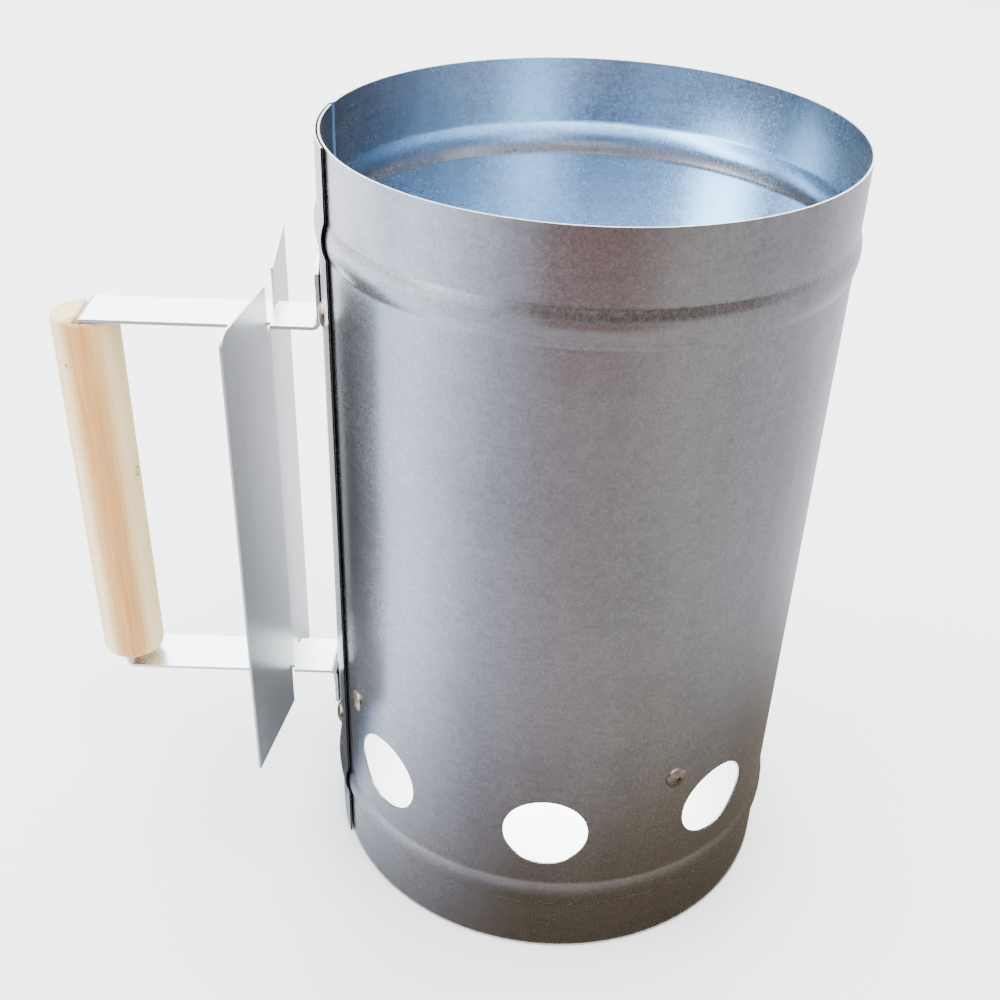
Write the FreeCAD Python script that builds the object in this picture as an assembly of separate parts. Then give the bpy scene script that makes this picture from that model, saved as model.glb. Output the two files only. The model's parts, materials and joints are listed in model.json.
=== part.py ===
import FreeCAD, Part
import math
import os

from FreeCAD import Vector as V

# Chimney charcoal starter. Millimetres, +Z up. The origin is the middle of the
# base circle, on the surface it stands on. The handle points along -X.

# ---------------------------------------------------------------- dimensions
body_r = 85.0            # outer radius of the rolled tube
body_h = 279.0           # height of the tube
sheet_t = 0.6            # galvanised steel sheet

lap_gap = 0.6            # slack between the two layers of the lap
lap_in_deg = 169.5       # free end of the inner layer
lap_out_deg = 199.6      # free end of the outer layer
joggle_deg = 1.3         # angle over which the outer layer steps out

bead_w = 6.5             # half the height of a stiffening bead
bead_h = 1.2             # how far a bead stands out
bead_root_r = 4.0        # root radius, outer surface
bead_z = (28.2, 250.6)   # middle of each bead

vent_r = 15.0
vent_z = 58.8
vent_first_deg = -138.8
vent_step_deg = 45.0
vent_count = 7           # the eighth place is taken by the handle foot

rivet_shank_r = 2.0
rivet_hole_r = 2.05
rivet_head_r = 4.0
rivet_head_h = 1.55
rivet_rim_h = 0.45
rivet_bore_r = 1.15
rivet_flare_r = 2.9
rivet_flare_l = 2.0
mandrel_r = 1.13
mandrel_head_r = 1.9
mandrel_head_l = 1.3
mandrel_stub = 0.55      # height of the broken end above the head's underside

grate_rivet_z = 78.5
grate_rivet_deg = {"front_right": -62.5, "back_right": 27.5,
                   "back_left": 117.5, "front_left": -152.5}
grate_t = 1.0
grate_r = 82.6
grate_top_z = 87.5
grate_tab_half_deg = 4.2
grate_tab_low_z = 72.0
grate_tab_gap = 0.1
grate_hole_r = 7.0
grate_hole_pitch = 19.5
grate_hole_limit = 73.5

strap_w = 20.0
strap_t = 1.2
strap_bend_r = 1.8       # inside bend radius
strap_top_z = 213.8      # top face of the upper arm
strap_low_z = 68.3       # top face of the lower arm
strap_leg_x = -168.1     # outer face of the upright leg
tab_seat_gap = 0.05
tab_top_end_z = 235.3
tab_low_end_z = 50.0
tab_rivet_z = {"upper": 225.8, "lower": 57.6}
nick_depth = 2.6         # notches in the strap's edges where the shield sits
nick_len = 1.9

seam_rivet_z = {"upper": 221.7, "lower": 53.3}
seam_rivet_s = 17.0      # distance from the handle's middle, round the front

shield_r = 103.6         # distance of the shield's body-side face from the axis
shield_t = 0.8
shield_front_w = 48.1    # from the handle's middle to the front edge
shield_back_w = 48.8     # and to the back edge
shield_front_rise = 7.7  # how far the front wing leans towards the hand
shield_back_rise = 2.3
shield_flat_w = 4.0      # flat middle, each side
shield_bend_r = 14.0     # soft bend between the middle and each wing
shield_top_z = 226.9
shield_low_z = 50.9
shield_back_low_z = (55.0, 39.5)   # the back wing is cut out of square
shield_notch_front = 8.2
shield_notch_back = 7.2
shield_notch_top_root = 210.4
shield_corner_r = 5.5

grip_r = 11.5
grip_x = -167.1
grip_low_z = 71.6
grip_top_z = 212.2
grip_edge_r = 2.6
grip_top_edge_r = 1.0
kerf_front_y = -10.15    # the kerf is cut from the back and stops here
kerf_x = (-168.9, -166.75)

os.makedirs("parts", exist_ok=True)


# ------------------------------------------------------------------- helpers
def line(a, b):
    return Part.LineSegment(a, b).toShape()


def arc(a, m, b):
    return Part.Arc(a, m, b).toShape()


def sheet_edges(r, inset, up):
    """Edges of the wall line in the XZ plane at radius r, moved in by inset."""
    crown_r = (bead_w ** 2 + bead_h ** 2) / (2 * bead_h) - bead_root_r
    edges = []
    z = 0.0
    for zc in bead_z:
        c = V(r + bead_h - crown_r, 0, zc)
        lo = V(r + bead_root_r, 0, zc - bead_w)
        hi = V(r + bead_root_r, 0, zc + bead_w)
        rr = bead_root_r + inset
        rc = crown_r - inset
        ul = (lo - c).normalize()
        uh = (hi - c).normalize()
        jl = c + ul * rc
        jh = c + uh * rc

        def mid(centre, rad, a, b):
            d = ((a - centre).normalize() + (b - centre).normalize()).normalize()
            return centre + d * rad

        wl = V(r - inset, 0, zc - bead_w)
        wh = V(r - inset, 0, zc + bead_w)
        edges.append(("l", V(r - inset, 0, z), wl, None))
        edges.append(("a", wl, jl, mid(lo, rr, wl, jl)))
        edges.append(("a", jl, jh, V(r + bead_h - inset, 0, zc)))
        edges.append(("a", jh, wh, mid(hi, rr, jh, wh)))
        z = zc + bead_w
    edges.append(("l", V(r - inset, 0, z), V(r - inset, 0, body_h), None))
    if not up:
        edges = [(k, b, a, m) for k, a, b, m in reversed(edges)]
    return [line(a, b) if k == "l" else arc(a, m, b) for k, a, b, m in edges]


def sheet_wire(r):
    """Closed section of the sheet: outer wall up, rim, inner wall down, base."""
    e = sheet_edges(r, 0.0, True)
    e.append(line(V(r, 0, body_h), V(r - sheet_t, 0, body_h)))
    e += sheet_edges(r, sheet_t, False)
    e.append(line(V(r - sheet_t, 0, 0), V(r, 0, 0)))
    return Part.Wire(e)


def turned(shape, deg):
    s = shape.copy()
    s.rotate(V(0, 0, 0), V(0, 0, 1), deg)
    return s


def sector(r, start_deg, sweep_deg):
    f = Part.Face(sheet_wire(r))
    s = f.revolve(V(0, 0, 0), V(0, 0, 1), sweep_deg)
    return turned(s, start_deg)


def radial(shape, deg, z, r):
    """Takes a shape built along +X from the origin out to radius r at deg, z."""
    s = shape.copy()
    s.translate(V(r, 0, z))
    return turned(s, deg)


def drill(radius, deg, z, r0, r1):
    c = Part.makeCylinder(radius, r1 - r0, V(r0, 0, z), V(1, 0, 0))
    return turned(c, deg)


def spin_x(edges):
    """Revolves closed edges in the XZ plane about the X axis into a solid."""
    return Part.Face(Part.Wire(edges)).revolve(V(0, 0, 0), V(1, 0, 0), 360)


def rivet(grip):
    """Set blind rivet along +X. x = 0 is the underside of its head."""
    h, rim = rivet_head_h, rivet_rim_h
    # the dome stops at the mandrel's hole
    sag = h - rim
    dome_r = (rivet_head_r ** 2 + sag ** 2) / (2 * sag)
    cx = h - dome_r

    def on_dome(rad):
        return V(cx + math.sqrt(dome_r ** 2 - rad ** 2), 0, rad)

    top = on_dome(rivet_bore_r)
    edges = [
        line(V(0, 0, rivet_shank_r), V(0, 0, rivet_head_r)),
        line(V(0, 0, rivet_head_r), V(rim, 0, rivet_head_r)),
        arc(V(rim, 0, rivet_head_r), on_dome(2.7), top),
        line(top, V(-grip - rivet_flare_l, 0, rivet_bore_r)),
        line(V(-grip - rivet_flare_l, 0, rivet_bore_r),
             V(-grip - rivet_flare_l, 0, 2.1)),
        arc(V(-grip - rivet_flare_l, 0, 2.1),
            V(-grip - 0.8, 0, rivet_flare_r),
            V(-grip, 0, 2.5)),
        line(V(-grip, 0, 2.5), V(-grip, 0, rivet_shank_r)),
        line(V(-grip, 0, rivet_shank_r), V(0, 0, rivet_shank_r)),
    ]
    return spin_x(edges)


def mandrel(grip):
    """What is left of the mandrel: a stub in the bore and the head behind it."""
    x0 = -grip - rivet_flare_l
    tip = x0 - mandrel_head_l
    edges = [
        line(V(mandrel_stub, 0, 0), V(mandrel_stub, 0, mandrel_r - 0.15)),
        line(V(mandrel_stub, 0, mandrel_r - 0.15), V(mandrel_stub - 0.15, 0, mandrel_r)),
        line(V(mandrel_stub - 0.15, 0, mandrel_r), V(x0, 0, mandrel_r)),
        line(V(x0, 0, mandrel_r), V(x0, 0, mandrel_head_r)),
        arc(V(x0, 0, mandrel_head_r),
            V(x0 - mandrel_head_l * 0.72, 0, mandrel_head_r * 0.84),
            V(tip, 0, mandrel_head_r * 0.45)),
        line(V(tip, 0, mandrel_head_r * 0.45), V(tip, 0, 0)),
        line(V(tip, 0, 0), V(mandrel_stub, 0, 0)),
    ]
    return spin_x(edges)


def save(shape, node):
    solids = shape.Solids
    if len(solids) == 1:
        shape = solids[0]
    assert len(solids) == 1, (node, len(solids))
    assert shape.isValid(), node
    shape.exportStep("parts/%s.step" % node)
    b = shape.BoundBox
    print("%-32s vol %9.1f  x %7.1f %7.1f  y %7.1f %7.1f  z %6.1f %6.1f" % (
        node, shape.Volume, b.XMin, b.XMax, b.YMin, b.YMax, b.ZMin, b.ZMax))
    return shape


# ------------------------------------------------------------ the rolled body
lap_r = body_r + sheet_t + lap_gap
ring_end = lap_in_deg - 0.7 - joggle_deg      # where the outer layer steps out
ring = sector(body_r, lap_in_deg, 360 + ring_end - lap_in_deg)
w0 = turned(sheet_wire(body_r), ring_end)
w1 = turned(sheet_wire(lap_r), ring_end + joggle_deg)
joggle = Part.makeLoft([w0, w1], True, True)
lap = sector(lap_r, ring_end + joggle_deg, lap_out_deg - ring_end - joggle_deg)
body = ring.fuse([joggle, lap]).removeSplitter()

cuts = []
for i in range(vent_count):
    cuts.append(drill(vent_r, vent_first_deg + i * vent_step_deg, vent_z, 60, 110))
for deg in grate_rivet_deg.values():
    cuts.append(drill(rivet_hole_r, deg, grate_rivet_z, 75, 95))
seam_deg = 180 + math.degrees(math.asin(seam_rivet_s / lap_r))
for k in ("upper", "lower"):
    cuts.append(drill(rivet_hole_r, 180, tab_rivet_z[k], 75, 95))
    cuts.append(drill(rivet_hole_r, seam_deg, seam_rivet_z[k], 75, 95))
body = body.cut(cuts)
save(body, "body_shell")

# ------------------------------------------------------------ charcoal grate
tab_r = body_r - sheet_t - grate_tab_gap
grate = Part.makeCylinder(grate_r, grate_t, V(0, 0, grate_top_z - grate_t))
bend = 1.6
e = [
    line(V(78, 0, grate_top_z), V(tab_r - bend, 0, grate_top_z)),
    arc(V(tab_r - bend, 0, grate_top_z),
        V(tab_r - bend + bend * math.sin(math.pi / 4), 0,
          grate_top_z - bend + bend * math.cos(math.pi / 4)),
        V(tab_r, 0, grate_top_z - bend)),
    line(V(tab_r, 0, grate_top_z - bend), V(tab_r, 0, grate_tab_low_z)),
    line(V(tab_r, 0, grate_tab_low_z), V(tab_r - grate_t, 0, grate_tab_low_z)),
    line(V(tab_r - grate_t, 0, grate_tab_low_z),
         V(tab_r - grate_t, 0, grate_top_z - bend)),
    arc(V(tab_r - grate_t, 0, grate_top_z - bend),
        V(tab_r - bend + (bend - grate_t) * math.sin(math.pi / 4), 0,
          grate_top_z - bend + (bend - grate_t) * math.cos(math.pi / 4)),
        V(tab_r - bend, 0, grate_top_z - grate_t)),
    line(V(tab_r - bend, 0, grate_top_z - grate_t), V(78, 0, grate_top_z - grate_t)),
    line(V(78, 0, grate_top_z - grate_t), V(78, 0, grate_top_z)),
]
tab_face = Part.Face(Part.Wire(e))
tabs = []
for deg in grate_rivet_deg.values():
    s = tab_face.revolve(V(0, 0, 0), V(0, 0, 1), 2 * grate_tab_half_deg)
    tabs.append(turned(s, deg - grate_tab_half_deg))
grate = grate.fuse(tabs).removeSplitter()
holes = []
row_h = grate_hole_pitch * math.sqrt(3) / 2
for j in range(-5, 6):
    for i in range(-6, 7):
        x = (i + 0.5 * (j % 2)) * grate_hole_pitch
        y = j * row_h
        if math.hypot(x, y) <= grate_hole_limit:
            holes.append(Part.makeCylinder(grate_hole_r, 6,
                                           V(x, y, grate_top_z - 3)))
for deg in grate_rivet_deg.values():
    holes.append(drill(rivet_hole_r, deg, grate_rivet_z, 75, 90))
grate = grate.cut(holes)
save(grate, "charcoal_grate")
print("grate holes", len(holes) - 4)

# --------------------------------------------------------------- handle strap
tab_in = -(lap_r + tab_seat_gap)           # face against the body
tab_out = tab_in - strap_t
bi = strap_bend_r
bo = strap_bend_r + strap_t
q = math.sqrt(0.5)


def bend_arc(cx, cz, rad, sx, sz, from_x):
    """Quarter arc about (cx, cz) towards the (sx, sz) corner."""
    px = V(cx + sx * rad, 0, cz)
    pz = V(cx, 0, cz + sz * rad)
    m = V(cx + sx * rad * q, 0, cz + sz * rad * q)
    return arc(px, m, pz) if from_x else arc(pz, m, px)


z_ut, z_ub = strap_top_z, strap_top_z - strap_t
z_lt, z_lb = strap_low_z, strap_low_z - strap_t
leg_out, leg_in = strap_leg_x, strap_leg_x + strap_t
# bend centres: upper tab, upper grip corner, lower grip corner, lower tab
c1 = (tab_out - bi, z_ut + bi)
c2 = (leg_in + bi, z_ub - bi)
c3 = (leg_in + bi, z_lt + bi)
c4 = (tab_out - bi, z_lb - bi)
e = [
    # body side of the upper tab, then the underside of the upper arm
    line(V(tab_in, 0, tab_top_end_z), V(tab_in, 0, c1[1])),
    bend_arc(c1[0], c1[1], bo, 1, -1, True),
    line(V(c1[0], 0, z_ub), V(c2[0], 0, z_ub)),
    bend_arc(c2[0], c2[1], bi, -1, 1, False),
    line(V(leg_in, 0, c2[1]), V(leg_in, 0, c3[1])),
    bend_arc(c3[0], c3[1], bi, -1, -1, True),
    line(V(c3[0], 0, z_lt), V(c4[0], 0, z_lt)),
    bend_arc(c4[0], c4[1], bo, 1, 1, False),
    line(V(tab_in, 0, c4[1]), V(tab_in, 0, tab_low_end_z)),
    # round the end of the lower tab and back along the outer side
    line(V(tab_in, 0, tab_low_end_z), V(tab_out, 0, tab_low_end_z)),
    line(V(tab_out, 0, tab_low_end_z), V(tab_out, 0, c4[1])),
    bend_arc(c4[0], c4[1], bi, 1, 1, True),
    line(V(c4[0], 0, z_lb), V(c3[0], 0, z_lb)),
    bend_arc(c3[0], c3[1], bo, -1, -1, False),
    line(V(leg_out, 0, c3[1]), V(leg_out, 0, c2[1])),
    bend_arc(c2[0], c2[1], bo, -1, 1, True),
    line(V(c2[0], 0, z_ut), V(c1[0], 0, z_ut)),
    bend_arc(c1[0], c1[1], bi, 1, -1, False),
    line(V(tab_out, 0, c1[1]), V(tab_out, 0, tab_top_end_z)),
    line(V(tab_out, 0, tab_top_end_z), V(tab_in, 0, tab_top_end_z)),
]
strap = Part.Face(Part.Wire(e)).extrude(V(0, strap_w, 0))
strap.translate(V(0, -strap_w / 2, 0))
# clipped corners at the tab ends
clip = []
for zc, sgn in ((tab_top_end_z, 1), (tab_low_end_z, -1)):
    for sy in (-1, 1):
        p = [V(tab_out - 1, sy * strap_w / 2, zc - sgn * 3.0),
             V(tab_out - 1, sy * strap_w / 2, zc),
             V(tab_out - 1, sy * (strap_w / 2 - 3.0), zc)]
        f = Part.Face(Part.makePolygon(p + [p[0]]))
        clip.append(f.extrude(V(strap_t + 2, 0, 0)))
# nicks for the shield, in both edges of both arms
nick_x = -(shield_r + shield_t / 2)
for z in (z_ub, z_lb):
    for y0 in (-strap_w / 2 - 1, strap_w / 2 - nick_depth):
        clip.append(Part.makeBox(nick_len, nick_depth + 1, strap_t + 2,
                                 V(nick_x - nick_len / 2, y0, z - 1)))
for k in ("upper", "lower"):
    clip.append(drill(rivet_hole_r, 180, tab_rivet_z[k], 80, 95))
strap = strap.cut(clip)
save(strap, "handle_strap")


# ---------------------------------------------------------------- heat shield
def curl(w, rise, inner):
    """Soft bend and straight wing, in plan: bend start, middle and end, and tip.
    Distances are from the shield's body-side face, across and outwards."""
    lo, hi = 0.0, 1.0
    for _ in range(60):
        ang = (lo + hi) / 2
        run = w - shield_flat_w - shield_bend_r * math.sin(ang)
        got = shield_bend_r * (1 - math.cos(ang)) + run * math.tan(ang)
        lo, hi = (ang, hi) if got < rise else (lo, ang)
    rr = shield_bend_r if inner else shield_bend_r - shield_t
    off = 0.0 if inner else shield_t
    a = (shield_flat_w, off)
    m = (shield_flat_w + rr * math.sin(ang / 2),
         off + rr * (1 - math.cos(ang / 2)))
    b = (shield_flat_w + rr * math.sin(ang), off + rr * (1 - math.cos(ang)))
    ln = run / math.cos(ang)
    c = (b[0] + ln * math.cos(ang), b[1] + ln * math.sin(ang))
    return a, m, b, c


def plan(p, side):
    # side -1 is the front (towards -Y), +1 the back
    return V(-(shield_r + p[1]), side * p[0], 0)


fi = [plan(p, -1) for p in curl(shield_front_w, shield_front_rise, True)]
fo = [plan(p, -1) for p in curl(shield_front_w, shield_front_rise, False)]
ki = [plan(p, 1) for p in curl(shield_back_w, shield_back_rise, True)]
ko = [plan(p, 1) for p in curl(shield_back_w, shield_back_rise, False)]
e = [
    line(fi[3], fi[2]), arc(fi[2], fi[1], fi[0]), line(fi[0], ki[0]),
    arc(ki[0], ki[1], ki[2]), line(ki[2], ki[3]), line(ki[3], ko[3]),
    line(ko[3], ko[2]), arc(ko[2], ko[1], ko[0]), line(ko[0], fo[0]),
    arc(fo[0], fo[1], fo[2]), line(fo[2], fo[3]), line(fo[3], fi[3]),
]
face = Part.Face(Part.Wire(e))
low = shield_back_low_z[1] - 5
face.translate(V(0, 0, low))
shield = face.extrude(V(0, 0, shield_top_z - low))
nw = shield_notch_front + shield_notch_back
cut = [
    Part.makeBox(30, nw, 60, V(-125, -shield_notch_front, shield_notch_top_root)),
    Part.makeBox(30, nw, 60, V(-125, -shield_notch_front, strap_low_z - 60)),
    Part.makeBox(30, 60, 30, V(-125, -60, shield_low_z - 30)),
]
p = [V(-125, -shield_notch_back, low - 1), V(-125, -shield_notch_back, shield_back_low_z[0]),
     V(-125, shield_notch_back, shield_back_low_z[0]),
     V(-125, shield_back_w + 1, shield_back_low_z[1]), V(-125, shield_back_w + 1, low - 1)]
cut.append(Part.Face(Part.makePolygon(p + [p[0]])).extrude(V(30, 0, 0)))


def corner(y_edge, z_edge, sy, sz, rad):
    """Cutter that rounds one corner of the shield, seen along X."""
    b = Part.makeBox(40, rad + 1, rad + 1,
                     V(-130, min(y_edge, y_edge - sy * rad) if sy < 0 else y_edge - rad,
                       z_edge - rad if sz > 0 else z_edge - 1))
    if sy < 0:
        b = Part.makeBox(40, rad + 1, rad + 1,
                         V(-130, y_edge - 1, z_edge - rad if sz > 0 else z_edge - 1))
    c = Part.makeCylinder(rad, 44, V(-132, y_edge - sy * rad, z_edge - sz * rad),
                          V(1, 0, 0))
    return b.cut(c)


yf = min(v.Point.y for v in shield.Vertexes)
yk = max(v.Point.y for v in shield.Vertexes)
cut.append(corner(yf, shield_top_z, -1, 1, shield_corner_r))
cut.append(corner(yf, shield_low_z, -1, -1, 0.6))
cut.append(corner(yk, shield_top_z, 1, 1, 0.8))
shield = shield.cut(cut)
save(shield, "heat_shield")

# ---------------------------------------------------------------- wooden grip
rl, rt = grip_edge_r, grip_top_edge_r
e = [
    line(V(0, 0, grip_low_z), V(grip_r - rl, 0, grip_low_z)),
    arc(V(grip_r - rl, 0, grip_low_z),
        V(grip_r - rl + rl * q, 0, grip_low_z + rl - rl * q),
        V(grip_r, 0, grip_low_z + rl)),
    line(V(grip_r, 0, grip_low_z + rl), V(grip_r, 0, grip_top_z - rt)),
    arc(V(grip_r, 0, grip_top_z - rt),
        V(grip_r - rt + rt * q, 0, grip_top_z - rt + rt * q),
        V(grip_r - rt, 0, grip_top_z)),
    line(V(grip_r - rt, 0, grip_top_z), V(0, 0, grip_top_z)),
    line(V(0, 0, grip_top_z), V(0, 0, grip_low_z)),
]
grip = Part.Face(Part.Wire(e)).revolve(V(0, 0, 0), V(0, 0, 1), 360)
grip.translate(V(grip_x, 0, 0))
kerf = Part.makeBox(kerf_x[1] - kerf_x[0], 40, grip_top_z - grip_low_z + 4,
                    V(kerf_x[0], kerf_front_y, grip_low_z - 2))
# the kerf's upper mouth is eased where the strap bends over the end
ease = 1.5
p = [V(kerf_x[1] - 0.01, kerf_front_y, grip_top_z - ease),
     V(kerf_x[1] + ease, kerf_front_y, grip_top_z + 0.01),
     V(kerf_x[1] - 0.01, kerf_front_y, grip_top_z + 0.01)]
mouth = Part.Face(Part.makePolygon(p + [p[0]])).extrude(V(0, 40, 0))
grip = grip.cut([kerf, mouth])
save(grip, "wooden_grip")

# --------------------------------------------------------------------- rivets
inside_r = body_r - sheet_t
g_grate = body_r - (tab_r - grate_t - 0.07)
g_tab = -tab_out - (inside_r - 0.07)
g_seam = lap_r - (inside_r - 0.07)
for k, deg in grate_rivet_deg.items():
    save(radial(rivet(g_grate), deg, grate_rivet_z, body_r), "grate_rivet_" + k)
    save(radial(mandrel(g_grate), deg, grate_rivet_z, body_r), "grate_mandrel_" + k)
for k in ("upper", "lower"):
    save(radial(rivet(g_tab), 180, tab_rivet_z[k], -tab_out), "handle_rivet_" + k)
    save(radial(mandrel(g_tab), 180, tab_rivet_z[k], -tab_out), "handle_mandrel_" + k)
    save(radial(rivet(g_seam), seam_deg, seam_rivet_z[k], lap_r), "seam_rivet_" + k)
    save(radial(mandrel(g_seam), seam_deg, seam_rivet_z[k], lap_r), "seam_mandrel_" + k)
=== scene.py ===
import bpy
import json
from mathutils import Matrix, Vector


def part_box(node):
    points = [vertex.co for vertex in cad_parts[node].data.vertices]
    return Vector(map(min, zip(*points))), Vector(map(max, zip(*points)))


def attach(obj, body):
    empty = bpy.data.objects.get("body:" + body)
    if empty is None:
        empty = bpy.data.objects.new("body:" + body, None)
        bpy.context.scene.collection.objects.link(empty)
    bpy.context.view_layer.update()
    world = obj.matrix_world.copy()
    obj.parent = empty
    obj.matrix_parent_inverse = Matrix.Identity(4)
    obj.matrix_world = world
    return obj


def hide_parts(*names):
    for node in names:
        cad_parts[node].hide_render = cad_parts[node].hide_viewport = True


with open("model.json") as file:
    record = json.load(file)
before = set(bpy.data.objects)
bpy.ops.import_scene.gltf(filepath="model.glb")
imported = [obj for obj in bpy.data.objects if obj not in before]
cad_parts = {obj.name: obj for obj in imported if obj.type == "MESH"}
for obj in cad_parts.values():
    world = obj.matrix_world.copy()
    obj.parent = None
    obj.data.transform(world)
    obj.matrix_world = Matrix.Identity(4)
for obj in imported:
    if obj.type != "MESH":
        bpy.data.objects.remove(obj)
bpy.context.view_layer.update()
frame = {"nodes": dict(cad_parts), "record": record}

import json
import math

import bpy
from mathutils import Matrix, Vector, noise

# ------------------------------------------------------------------ node tools


class Nodes:
    """A material's node tree, with short calls for the nodes used here."""

    def __init__(self, name):
        self.mat = bpy.data.materials.new(name)
        self.mat.use_nodes = True
        self.t = self.mat.node_tree
        self.t.nodes.clear()
        self.out = self.t.nodes.new("ShaderNodeOutputMaterial")
        self.bsdf = self.t.nodes.new("ShaderNodeBsdfPrincipled")
        self.t.links.new(self.bsdf.outputs[0], self.out.inputs[0])
        self.co = self.t.nodes.new("ShaderNodeTexCoord").outputs["Object"]
        self.parts = None

    def put(self, socket, value):
        if isinstance(value, bpy.types.NodeSocket):
            self.t.links.new(value, socket)
        elif isinstance(value, (tuple, list)) and len(value) == 3 and socket.type == "RGBA":
            socket.default_value = (*value, 1.0)
        else:
            socket.default_value = value

    def set(self, name, value):
        self.put(self.bsdf.inputs[name], value)

    def math(self, op, a, b=0.0, c=0.0):
        n = self.t.nodes.new("ShaderNodeMath")
        n.operation = op
        for i, v in enumerate((a, b, c)):
            if i < len(n.inputs):
                self.put(n.inputs[i], v)
        return n.outputs[0]

    def xyz(self):
        if self.parts is None:
            n = self.t.nodes.new("ShaderNodeSeparateXYZ")
            self.t.links.new(self.co, n.inputs[0])
            self.parts = n.outputs
        return self.parts

    def join(self, x, y, z):
        n = self.t.nodes.new("ShaderNodeCombineXYZ")
        for i, v in enumerate((x, y, z)):
            self.put(n.inputs[i], v)
        return n.outputs[0]

    def noise(self, vec, scale, detail=3.0, rough=0.5, warp=0.0):
        n = self.t.nodes.new("ShaderNodeTexNoise")
        self.put(n.inputs["Vector"], vec)
        n.inputs["Scale"].default_value = scale
        n.inputs["Detail"].default_value = detail
        n.inputs["Roughness"].default_value = rough
        n.inputs["Distortion"].default_value = warp
        return n.outputs["Fac"]

    def cells(self, vec, scale):
        n = self.t.nodes.new("ShaderNodeTexVoronoi")
        self.put(n.inputs["Vector"], vec)
        n.inputs["Scale"].default_value = scale
        s = self.t.nodes.new("ShaderNodeSeparateColor")
        self.t.links.new(n.outputs["Color"], s.inputs[0])
        return s.outputs[0]

    def span(self, value, a, b, lo=0.0, hi=1.0, smooth=True):
        n = self.t.nodes.new("ShaderNodeMapRange")
        n.interpolation_type = "SMOOTHSTEP" if smooth else "LINEAR"
        self.put(n.inputs["Value"], value)
        for k, v in (("From Min", a), ("From Max", b), ("To Min", lo), ("To Max", hi)):
            n.inputs[k].default_value = v
        return n.outputs["Result"]

    def mix(self, fac, a, b, kind="MIX"):
        n = self.t.nodes.new("ShaderNodeMix")
        n.data_type = "RGBA"
        n.blend_type = kind
        self.put(n.inputs["Factor"], fac)
        col = [s for s in n.inputs if s.type == "RGBA"]
        self.put(col[0], a)
        self.put(col[1], b)
        return [s for s in n.outputs if s.type == "RGBA"][0]

    def bump(self, height, dist, strength=1.0, normal=None):
        n = self.t.nodes.new("ShaderNodeBump")
        n.inputs["Distance"].default_value = dist
        n.inputs["Strength"].default_value = strength
        self.put(n.inputs["Height"], height)
        if normal is not None:
            self.put(n.inputs["Normal"], normal)
        return n.outputs[0]


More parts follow.
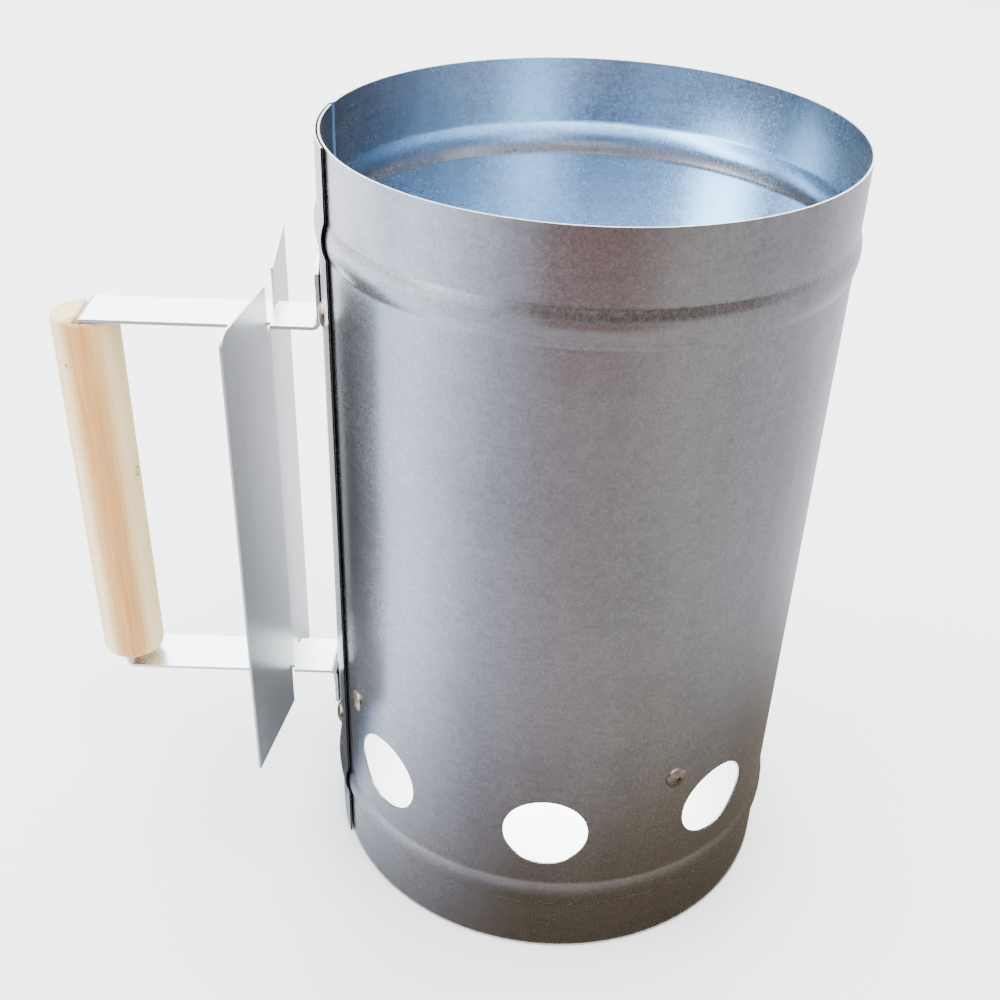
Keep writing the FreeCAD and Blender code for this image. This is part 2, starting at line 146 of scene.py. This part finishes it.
def steel(name, dark, light, rough, cylinder=False, streak=0.5, grain=1.0, foot_shade=0.0,
          relief=1.0):
    """Galvanised sheet: fine grain, faint rolling lines, clouds and light scuffs."""
    m = Nodes(name)
    x, y, z = m.xyz()[0], m.xyz()[1], m.xyz()[2]
    if cylinder:
        turn = m.math("ARCTAN2", y, x)
        around = m.math("MULTIPLY", turn, 0.085)
        roll = m.join(m.math("MULTIPLY", around, 30.0), m.math("MULTIPLY", z, 500.0), 0.0)
        down = m.join(m.math("MULTIPLY", around, 60.0), m.math("MULTIPLY", z, 5.0), 0.0)
    else:
        roll = m.join(m.math("MULTIPLY", x, 40.0), m.math("MULTIPLY", y, 900.0),
                      m.math("MULTIPLY", z, 40.0))
        down = m.join(m.math("MULTIPLY", x, 30.0), m.math("MULTIPLY", y, 120.0),
                      m.math("MULTIPLY", z, 8.0))
    cloud = m.noise(m.co, 14.0, 4.0, 0.55, 0.4)
    speck = m.noise(m.co, 1050.0, 2.0, 0.6)
    fine = m.noise(m.co, 2600.0, 1.0, 0.5)
    lines = m.noise(roll, 1.0, 3.0, 0.6)
    drift = m.noise(down, 1.0, 3.0, 0.5, 0.3)
    flake = m.cells(m.co, 420.0)
    tone = m.math("MULTIPLY", m.span(cloud, 0.3, 0.7), 0.20)
    tone = m.math("ADD", tone, m.math("MULTIPLY", m.span(drift, 0.3, 0.7), 0.12))
    tone = m.math("ADD", tone, m.math("MULTIPLY", m.span(lines, 0.35, 0.65), 0.10 * streak))
    tone = m.math("ADD", tone, m.math("MULTIPLY", m.span(speck, 0.3, 0.7), 0.30 * grain))
    tone = m.math("ADD", tone, m.math("MULTIPLY", flake, 0.16 * grain))
    col = m.mix(tone, dark, light)
    if foot_shade:
        # painted reflection: a thin warm darker tint low down, standing in for the shadowed floor close to
        # the tube as seen in the metal
        foot_shade_mask = m.math("MULTIPLY", m.span(cloud, 0.40, 0.70, 0.45, 1.0),
                      m.math("MULTIPLY", m.span(z, 0.0, 0.10, 1.0, 0.0), foot_shade))
        col = m.mix(foot_shade_mask, col, (0.27, 0.23, 0.17))
    if cylinder:
        # painted shade: both free ends of the sheet and the joggle groove beside the inner one are darkened
        # nearly to black, standing in for the shadowed seam gap and the dark edge faces
        rad = m.math("SQRT", m.math("ADD", m.math("MULTIPLY", x, x), m.math("MULTIPLY", y, y)))
        for deg, half, lo, hi, shade_strength in SEAM_SHADE_BANDS:
            near = m.math("MULTIPLY", m.math("ABSOLUTE", m.math("SUBTRACT", turn, math.radians(deg))), 0.085)
            edge = m.math("MULTIPLY", m.span(near, half * 0.8, half * 1.2, 1.0, 0.0, False),
                          m.math("MULTIPLY", m.math("GREATER_THAN", rad, lo), m.math("LESS_THAN", rad, hi)))
            col = m.mix(m.math("MULTIPLY", edge, shade_strength), col, (0.015, 0.015, 0.017))
    m.set("Base Color", col)
    m.set("Metallic", 1.0)
    r = m.math("ADD", rough, m.math("MULTIPLY", m.span(cloud, 0.3, 0.7, -1.0, 1.0), 0.025))
    r = m.math("ADD", r, m.math("MULTIPLY", m.span(speck, 0.3, 0.7, -1.0, 1.0), 0.022))
    r = m.math("ADD", r, m.math("MULTIPLY", m.span(lines, 0.3, 0.7, -1.0, 1.0), 0.02 * streak))
    m.set("Roughness", r)
    h = m.math("ADD", m.math("MULTIPLY", speck, 0.6), m.math("MULTIPLY", fine, 0.4))
    h = m.math("ADD", h, m.math("MULTIPLY", lines, 0.25 * streak))
    b = m.bump(cloud, 0.0004, 0.25 * relief)
    b = m.bump(h, 0.00003, 0.5 * relief, b)
    m.set("Normal", b)
    return m.mat


def rivet_metal(name, dark, light, rough, warm):
    m = Nodes(name)
    n1 = m.noise(m.co, 900.0, 3.0, 0.6)
    n2 = m.noise(m.co, 150.0, 3.0, 0.5, 0.6)
    col = m.mix(m.span(n1, 0.3, 0.7), dark, light)
    col = m.mix(m.math("MULTIPLY", m.span(n2, 0.45, 0.75), warm), col, (0.60, 0.42, 0.30))
    m.set("Base Color", col)
    m.set("Metallic", 1.0)
    m.set("Roughness", m.math("ADD", rough, m.math("MULTIPLY", m.span(n2, 0.3, 0.7), 0.12)))
    m.set("Normal", m.bump(m.math("ADD", n1, n2), 0.00006, 0.6))
    return m.mat


GRIP = (-0.1671, 0.0)


def wood(name):
    """Raw sanded softwood: long grain, a warm heart streak, one small knot."""
    m = Nodes(name)
    x, y, z = m.xyz()[0], m.xyz()[1], m.xyz()[2]
    u = m.math("SUBTRACT", x, GRIP[0])
    ang = m.math("ARCTAN2", y, u)
    # the knot, on the side towards the fire and a little to the front
    ka, kz = math.radians(KNOT[0]), KNOT[1]
    da = m.math("MULTIPLY", m.math("SUBTRACT", ang, ka), 0.0115)
    dz = m.math("SUBTRACT", z, kz)
    far = m.math("SQRT", m.math("ADD", m.math("MULTIPLY", da, m.math("MULTIPLY", da, 1.9)),
                                m.math("MULTIPLY", dz, dz)))
    pull = m.span(far, 0.0, 0.012, 0.0035, 0.0)
    # growth rings cut along their length: a leaning pith far outside the stick
    gx = m.math("ADD", u, m.math("MULTIPLY", z, 0.055))
    gx = m.math("ADD", gx, pull)
    wob = m.noise(m.join(m.math("MULTIPLY", x, 30.0), m.math("MULTIPLY", y, 30.0),
                         m.math("MULTIPLY", z, 5.0)), 1.0, 3.0, 0.5)
    rad = m.math("SQRT", m.math("ADD", m.math("POWER", m.math("ADD", gx, 0.030), 2.0),
                                m.math("POWER", m.math("ADD", y, 0.021), 2.0)))
    rad = m.math("ADD", rad, m.math("MULTIPLY", wob, 0.0035))
    ring = m.math("FRACT", m.math("MULTIPLY", rad, 430.0))
    late = m.math("MULTIPLY", m.span(ring, 0.45, 0.93), m.span(ring, 0.93, 1.0, 1.0, 0.0))
    fibre = m.noise(m.join(m.math("MULTIPLY", x, 1500.0), m.math("MULTIPLY", y, 1500.0),
                           m.math("MULTIPLY", z, 28.0)), 1.0, 3.0, 0.6)
    pore = m.noise(m.join(m.math("MULTIPLY", x, 2600.0), m.math("MULTIPLY", y, 2600.0),
                          m.math("MULTIPLY", z, 120.0)), 1.0, 1.0, 0.5)
    cloud = m.noise(m.join(m.math("MULTIPLY", x, 60.0), m.math("MULTIPLY", y, 60.0),
                           m.math("MULTIPLY", z, 9.0)), 1.0, 3.0, 0.5)
    col = m.mix(m.span(cloud, 0.3, 0.7), (0.80, 0.56, 0.27), (0.92, 0.73, 0.43))
    col = m.mix(m.math("MULTIPLY", late, 0.26), col, (0.76, 0.52, 0.25))
    col = m.mix(m.math("MULTIPLY", m.span(fibre, 0.35, 0.72), 0.16), col, (0.74, 0.52, 0.27))
    # warm streak, leaning slightly along the stick
    lean = m.math("ADD", ang, m.math("MULTIPLY", m.math("SUBTRACT", z, 0.14), 1.2))
    lean = m.math("ADD", lean, m.math("MULTIPLY", m.math("SUBTRACT", cloud, 0.5), 0.5))
    s0 = math.radians(STREAK)
    band = m.math("MULTIPLY", m.span(lean, s0 - 0.80, s0 - 0.22),
                  m.span(lean, s0 + 0.24, s0 + 0.85, 1.0, 0.0))
    band = m.math("MULTIPLY", band, m.span(fibre, 0.25, 0.7, 0.75, 1.0))
    col = m.mix(m.math("MULTIPLY", band, 0.95), col, (0.50, 0.205, 0.028))
    col = m.mix(m.math("MULTIPLY", m.span(pore, 0.62, 0.78), 0.22), col, (0.42, 0.27, 0.14))
    # knot: dark ring round a mid brown eye
    eye = m.span(far, 0.0006, 0.0013, 1.0, 0.0)
    rim = m.math("MULTIPLY", m.span(far, 0.0011, 0.0016), m.span(far, 0.0019, 0.0026, 1.0, 0.0))
    col = m.mix(m.math("MULTIPLY", eye, 0.35), col, (0.55, 0.36, 0.18))
    col = m.mix(m.math("MULTIPLY", rim, 0.85), col, (0.20, 0.11, 0.05))
    # dark speck of bark
    sa = m.math("MULTIPLY", m.math("SUBTRACT", ang, math.radians(SPECK[0])), 0.0115)
    sz = m.math("SUBTRACT", z, SPECK[1])
    sd = m.math("SQRT", m.math("ADD", m.math("MULTIPLY", sa, sa),
                               m.math("MULTIPLY", sz, m.math("MULTIPLY", sz, 0.45))))
    col = m.mix(m.span(sd, 0.0003, 0.0008, 0.85, 0.0), col, (0.16, 0.10, 0.06))
    # painted shade: the wood is darkened towards both ends, where it meets the straps
    end_shade = m.math("MAXIMUM", m.span(z, 0.0716, 0.0745, 1.0, 0.0), m.span(z, 0.2105, 0.2122))
    col = m.mix(m.math("MULTIPLY", end_shade, 0.22), col, (0.56, 0.42, 0.28))
    m.set("Base Color", col)
    m.set("Roughness", m.span(fibre, 0.3, 0.7, 0.52, 0.72))
    m.set("Specular IOR Level", 0.35)
    m.set("Subsurface Weight", 0.06)
    m.set("Subsurface Radius", (0.004, 0.002, 0.001))
    m.set("Subsurface Scale", 0.4)
    h = m.math("ADD", m.math("MULTIPLY", fibre, 0.7), m.math("MULTIPLY", pore, 0.3))
    h = m.math("SUBTRACT", h, m.math("MULTIPLY", late, -0.25))
    m.set("Normal", m.bump(h, 0.00012, 0.55))
    return m.mat


KNOT = (-9.9, 0.1518)
STREAK = -82.0
SPECK = (-119.6, 0.1966)

# ------------------------------------------------------------------ materials
LAP_OUT, LAP_IN = 199.6 - 360.0, 169.5
# painted shade bands of the lap seam, on the cut edges and in the joggle groove: angle, half width round the
# tube, inner and outer radius, strength
SEAM_SHADE_BANDS = ((LAP_OUT, 0.00015, 0.0857, 0.0884, 0.93), (LAP_IN, 0.00015, 0.0840, 0.0863, 0.8),
        (LAP_IN - 1.35, 0.0013, 0.0840, 0.0860, 0.62))
body_m = steel("galvanised_body_steel", (0.32, 0.32, 0.345), (0.62, 0.62, 0.65), 0.25,
               cylinder=True, streak=0.5, grain=1.0, foot_shade=0.55, relief=0.32)
grate_m = steel("grate_sheet_steel", (0.34, 0.34, 0.35), (0.60, 0.60, 0.61), 0.40,
                streak=0.4, grain=1.0)
strap_m = steel("bright_zinc_strap", (0.80, 0.83, 0.84), (0.97, 0.98, 0.98), 0.27,
                streak=0.8, grain=0.5, relief=0.5)
shield_m = steel("shield_sheet_steel", (0.66, 0.67, 0.675), (0.92, 0.92, 0.92), 0.40,
                 streak=0.5, grain=0.7, relief=0.25)
alu_m = rivet_metal("rivet_aluminium_cast", (0.27, 0.215, 0.17), (0.64, 0.53, 0.43), 0.28, 0.6)
# painted shade: the mandrel stub is steel, and its near-black colour also stands in for the shade in the
# rivet's mandrel hole
pin_m = rivet_metal("mandrel_steel_hole_shade", (0.03, 0.025, 0.02), (0.10, 0.085, 0.075), 0.45, 0.3)
wood_m = wood("raw_pale_softwood")

LOOK = {
    "galvanised_body": body_m,
    "grate_steel": grate_m,
    "galvanised_strap": strap_m,
    "galvanised_shield": shield_m,
    "grip_wood": wood_m,
    "rivet_aluminium": alu_m,
    "mandrel_steel": pin_m,
}
slot_of = {s["node"]: s["material_slot"] for s in frame["record"]["subparts"]}
for node, obj in frame["nodes"].items():
    mat = LOOK[slot_of[node]]
    if not obj.material_slots:
        obj.data.materials.append(mat)
    for sl in obj.material_slots:
        sl.material = mat


# ---------------------------------------------------------------- wooden grip
def make_grip():
    """The dowel with its saw kerf, worked over: slightly out of round, with fine
    facets from sanding, worn ends, a raised knot and a short drying crack."""
    src = frame["nodes"]["wooden_grip"]
    tmp = bpy.data.objects.new("grip_tmp", src.data.copy())
    bpy.context.scene.collection.objects.link(tmp)
    rm = tmp.modifiers.new("skin", "REMESH")
    rm.mode = "VOXEL"
    rm.voxel_size = 0.00042
    rm.adaptivity = 0.0
    bpy.context.view_layer.update()
    dg = bpy.context.evaluated_depsgraph_get()
    me = bpy.data.meshes.new_from_object(tmp.evaluated_get(dg))
    bpy.data.objects.remove(tmp)
    (lx, ly, lz), (hx, hy, hz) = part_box("wooden_grip")
    rad = (hy - ly) / 2
    ka, kz = math.radians(KNOT[0]), KNOT[1]
    for v in me.vertices:
        x, y, z = v.co.x - GRIP[0], v.co.y - GRIP[1], v.co.z
        r = math.hypot(x, y)
        if r < 1e-6:
            continue
        a = math.atan2(y, x)
        skin = max(0.0, min(1.0, (r - (rad - 0.0009)) / 0.0006))
        if skin <= 0:
            continue
        ca, sa = math.cos(a), math.sin(a)
        cut = 0.00010 * (1 + noise.noise(Vector((ca * 1.6, sa * 1.6, z * 14.0))))
        cut += 0.00005 * (1 + noise.noise(Vector((ca * 9.0, sa * 9.0, z * 45.0 + 7.0))))
        cut += 0.000025 * (1 + noise.noise(Vector((ca * 40.0, sa * 40.0, z * 60.0))))
        # knot: a proud ring with a sunk eye
        da = ((a - ka + math.pi) % (2 * math.pi) - math.pi) * rad * 1.35
        d = math.hypot(da, z - kz)
        cut += 0.00022 * math.exp(-(d / 0.0009) ** 2)
        cut -= 0.00008 * math.exp(-((d - 0.0019) / 0.0006) ** 2)
        # drying crack near the lower end
        if CRACK[1] < z < CRACK[2]:
            t = (z - CRACK[1]) / (CRACK[2] - CRACK[1])
            ac = math.radians(CRACK[0]) + 0.05 * math.sin(t * 5.0) - 0.04 * t
            dc = abs(((a - ac + math.pi) % (2 * math.pi) - math.pi) * rad)
            cut += 0.0008 * math.sin(math.pi * t) ** 0.5 * max(0.0, 1.0 - dc / 0.00055)
        cut = max(0.0, cut) * skin
        k = (min(r, rad) - cut) / r
        v.co.x = GRIP[0] + x * k
        v.co.y = GRIP[1] + y * k
    me.materials.clear()
    me.materials.append(wood_m)
    for p in me.polygons:
        p.use_smooth = True
    me.update()
    o = bpy.data.objects.new("turned_grip", me)
    bpy.context.scene.collection.objects.link(o)
    return o


CRACK = (-76.0, 0.0722, 0.0785)
grip = make_grip()
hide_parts("wooden_grip")
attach(grip, "root")


# --------------------------------------------------------------------- camera
R = 0.085
D, HC = 4.931315, 4.729509
YAW, PITCH, ROLL = -0.05541864, 0.60656824, 0.03936406
FOCAL, CX, CY = 1340.24815, 502.0, 570.0
TURN = math.radians(-3.92765)

cyaw, syaw = math.cos(YAW), math.sin(YAW)
cp, sp = math.cos(PITCH), math.sin(PITCH)
fwd = Vector((syaw * cp, cyaw * cp, -sp))
side = Vector((cyaw, -syaw, 0.0))
up = side.cross(fwd)
right = math.cos(ROLL) * side + math.sin(ROLL) * up
top = -math.sin(ROLL) * side + math.cos(ROLL) * up
turn = Matrix.Rotation(TURN, 3, "Z")
right, top, fwd = turn @ right, turn @ top, turn @ fwd
place = turn @ Vector((0.0, -D * R, HC * R))
cam_data = bpy.data.cameras.new("camera")
cam = bpy.data.objects.new("camera", cam_data)
bpy.context.scene.collection.objects.link(cam)
m = Matrix.Identity(4)
for i in range(3):
    m[i][0], m[i][1], m[i][2], m[i][3] = right[i], top[i], -fwd[i], place[i]
cam.matrix_world = m
cam_data.sensor_fit = "HORIZONTAL"
cam_data.sensor_width = 36.0
cam_data.lens = FOCAL / 1000.0 * 36.0
cam_data.shift_x = -(CX - 500.0) / 1000.0
cam_data.shift_y = (CY - 500.0) / 1000.0
cam_data.clip_start = 0.01
cam_data.clip_end = 50.0
bpy.context.scene.camera = cam


# ---------------------------------------------------------------------- stage
def plane(name, cx, cy, sx, sy, z, mat, rot=0.0):
    me = bpy.data.meshes.new(name)
    c, s = math.cos(rot), math.sin(rot)
    pts = []
    for a, b in ((-1, -1), (1, -1), (1, 1), (-1, 1)):
        x, y = a * sx / 2, b * sy / 2
        pts.append((cx + c * x - s * y, cy + s * x + c * y, z))
    me.from_pydata(pts, [], [(0, 1, 2, 3)])
    me.materials.append(mat)
    o = bpy.data.objects.new(name, me)
    bpy.context.scene.collection.objects.link(o)
    return o


fm = Nodes("floor_paper")
fn = fm.noise(fm.co, 3.0, 3.0, 0.5)
fm.set("Base Color", fm.mix(fn, (0.935, 0.935, 0.94), (0.965, 0.965, 0.965)))
fm.set("Roughness", 0.85)
fm.set("Specular IOR Level", 0.15)
floor = plane("floor", 0.0, 0.0, 12.0, 12.0, -0.0002, fm.mat)


def lerp_table(table, t):
    for (t0, c0), (t1, c1) in zip(table, table[1:]):
        if t <= t1:
            k = max(0.0, (t - t0) / (t1 - t0))
            return tuple(p + (q - p) * k for p, q in zip(c0, c1))
    return table[-1][1]


AROUND = [
    (-180, (0.52, 0.62, 0.74)), (-165, (0.66, 0.73, 0.82)), (-150, (0.47, 0.50, 0.57)),
    (-135, (0.29, 0.30, 0.34)), (-120, (0.19, 0.185, 0.21)), (-100, (0.155, 0.135, 0.14)),
    (-75, (0.155, 0.14, 0.13)), (-50, (0.17, 0.155, 0.14)), (-25, (0.17, 0.165, 0.165)),
    (0, (0.19, 0.185, 0.19)), (22, (0.27, 0.27, 0.285)), (45, (0.38, 0.38, 0.40)),
    (90, (0.55, 0.55, 0.57)), (135, (0.85, 0.88, 0.92)), (150, (1.0, 1.0, 1.0)),
    (165, (0.85, 0.93, 1.0)), (180, (0.52, 0.62, 0.74)),
]


def smooth(a, b, t):
    t = max(0.0, min(1.0, (t - a) / (b - a)))
    return t * t * (3 - 2 * t)


def card_color(deg, rho):
    c = lerp_table(AROUND, deg)
    back = deg + 360 if deg < -120 else deg
    if 128 < back < 200:
        # painted reflection: dark and blue patches on the handle side, standing in for the handle region and
        # the object's own shadows seen in the metal
        stop = 191 - 10 * smooth(0.22, 0.42, rho)
        w = smooth(128, 142, back) * (1 - smooth(stop - 16, stop, back))
        blue = w * (1 - smooth(0.50, 0.62, rho))
        c = tuple(p + (q - p) * blue for p, q in zip(c, (0.03, 0.11, 0.29)))
        dark = w * (1 - smooth(0.33, 0.43, rho))
        c = tuple(p + (q - p) * dark for p, q in zip(c, (0.03, 0.034, 0.045)))
    if -118 < deg < -50:
        w = smooth(-118, -104, deg) * (1 - smooth(-84, -50, deg)) * smooth(0.55, 0.68, rho)
        c = tuple(p + (q - p) * w for p, q in zip(c, (0.075, 0.022, 0.015)))
    # painted shadow: a dark brown ring on the card round the base of the body, standing in for the shadowed
    # floor close to it as seen in the metal
    right = smooth(-85, -55, deg)
    low = 1 - smooth(0.095 + 0.02 * right, 0.21 + 0.06 * right, rho)
    side = smooth(-130, -95, deg) * (1 - smooth(40, 80, deg))
    foot = low * (0.25 + 0.70 * side)
    c = tuple(p + (q - p) * foot for p, q in zip(c, (0.060, 0.042, 0.020)))
    far = smooth(1.25, 1.9, rho) * (0.2 if -150 < deg < 60 else 1.0)
    c = tuple(p + (q - p) * far for p, q in zip(c, (0.95, 0.96, 0.98)))
    return tuple(0.80 * k for k in c)


WALL = [
    (-160, (0.85, 0.90, 0.95)), (-148, (0.62, 0.66, 0.74)), (-130, (0.26, 0.27, 0.30)),
    (-112, (0.065, 0.035, 0.025)), (-85, (0.028, 0.009, 0.004)), (-55, (0.035, 0.017, 0.010)),
    (-25, (0.075, 0.050, 0.040)), (10, (0.20, 0.20, 0.21)), (40, (0.45, 0.45, 0.47)),
]


def reflection_wall():
    """A painted curtain behind the camera's side, seen only in the metal."""
    zs = [0.0, 0.15, 0.3, 0.45, 0.6, 0.75, 0.9, 1.05, 1.2, 1.35, 1.5]
    n = 100
    pts, cols = [], []
    for z in zs:
        for j in range(n + 1):
            deg = -160 + 200 * j / n
            pts.append((2.6 * math.cos(math.radians(deg)), 2.6 * math.sin(math.radians(deg)), z))
            c = lerp_table(WALL, deg)
            k = smooth(1.0, 1.5, z)
            cols.append(tuple(p + (q - p) * k * 0.6 for p, q in zip(c, (0.4, 0.4, 0.4))))
    faces = [(i * (n + 1) + j, i * (n + 1) + j + 1, (i + 1) * (n + 1) + j + 1, (i + 1) * (n + 1) + j)
             for i in range(len(zs) - 1) for j in range(n)]
    return painted("reflection_wall", pts, faces, cols)


def painted(name, pts, faces, cols):
    me = bpy.data.meshes.new(name)
    me.from_pydata(pts, [], faces)
    att = me.color_attributes.new("paint", "FLOAT_COLOR", "POINT")
    for i, k in enumerate(cols):
        att.data[i].color = (*k, 1.0)
    c = Nodes(name + "_paint")
    at = c.t.nodes.new("ShaderNodeAttribute")
    at.attribute_name = "paint"
    c.set("Base Color", c.mix(1.0, at.outputs["Color"],
                              c.mix(c.noise(c.co, 9.0, 2.0, 0.5), (1, 1, 1), (0.88, 0.88, 0.88)),
                              "MULTIPLY"))
    c.set("Roughness", 0.9)
    me.materials.append(c.mat)
    o = bpy.data.objects.new(name, me)
    bpy.context.scene.collection.objects.link(o)
    o.visible_camera = False
    o.visible_shadow = False
    o.visible_diffuse = False
    o.visible_transmission = False
    return o


def reflection_card():
    """A painted card round the set, flat on the floor and seen only in the metal."""
    rhos = [0.0853 * (2.6 / 0.0853) ** (i / 40) for i in range(41)]
    n = 144
    pts = [(r * math.cos(math.radians(-180 + 360 * j / n)),
            r * math.sin(math.radians(-180 + 360 * j / n)), 0.0006)
           for r in rhos for j in range(n)]
    faces = [(i * n + j, i * n + (j + 1) % n, (i + 1) * n + (j + 1) % n, (i + 1) * n + j)
             for i in range(40) for j in range(n)]
    cols = [card_color(-180 + 360 * j / n, r) for r in rhos for j in range(n)]
    return painted("reflection_card", pts, faces, cols)


reflection_card()
reflection_wall()


def lamp(name, place, aim, sx, sy, watts, color):
    d = bpy.data.lights.new(name, "AREA")
    d.shape = "RECTANGLE"
    d.size, d.size_y = sx, sy
    d.energy = watts
    d.color = color
    o = bpy.data.objects.new(name, d)
    o.location = place
    v = Vector(aim) - Vector(place)
    o.rotation_euler = v.to_track_quat("-Z", "Y").to_euler()
    o.visible_camera = False
    bpy.context.scene.collection.objects.link(o)
    return o


lamp("overhead", (0.0, 0.1, 2.2), (0, 0, 0.1), 2.8, 2.8, 165.0, (1.0, 1.0, 1.0))
lamp("back_panel", (-0.2, 2.3, 1.55), (0, 0, 0.2), 3.0, 1.6, 105.0, (0.94, 1.0, 1.0))
lamp("window_left", (-1.8, -0.4, 1.2), (0, 0, 0.15), 1.3, 1.4, 30.0, (0.86, 0.94, 1.0))
lamp("front_fill", (0.5, -1.5, 2.2), (0, 0, 0.12), 1.8, 1.2, 24.0, (1.0, 0.96, 0.93))
lamp("under_grate", (0.0, 0.0, 0.070), (0, 0, 0.0), 0.10, 0.10, 0.7, (1.0, 1.0, 1.0))

glow = lamp("over_grate", (0.0, 0.0, 0.092), (0, 0, 0.3), 0.158, 0.158, 0.42, (0.16, 0.52, 1.0))
glow.data.shape = "DISK"

side = lamp("inner_side", (-0.055, 0.020, 0.17), (0.085, 0.0, 0.20), 0.04, 0.10, 0.22, (0.30, 0.62, 1.0))

# a cool lamp straight down the tube
sd = bpy.data.lights.new("down_the_tube", "SPOT")
sd.energy = 26.0
sd.color = (0.20, 0.58, 1.0)
sd.spot_size = math.radians(8.6)
sd.spot_blend = 0.25
sd.shadow_soft_size = 0.05
so = bpy.data.objects.new("down_the_tube", sd)
so.location = (0.0, 0.0, 1.40)
so.visible_camera = False
bpy.context.scene.collection.objects.link(so)

world = bpy.data.worlds.new("studio")
bpy.context.scene.world = world
world.use_nodes = True
bg = world.node_tree.nodes["Background"]
bg.inputs["Color"].default_value = (0.92, 0.96, 1.0, 1.0)
bg.inputs["Strength"].default_value = 1.75
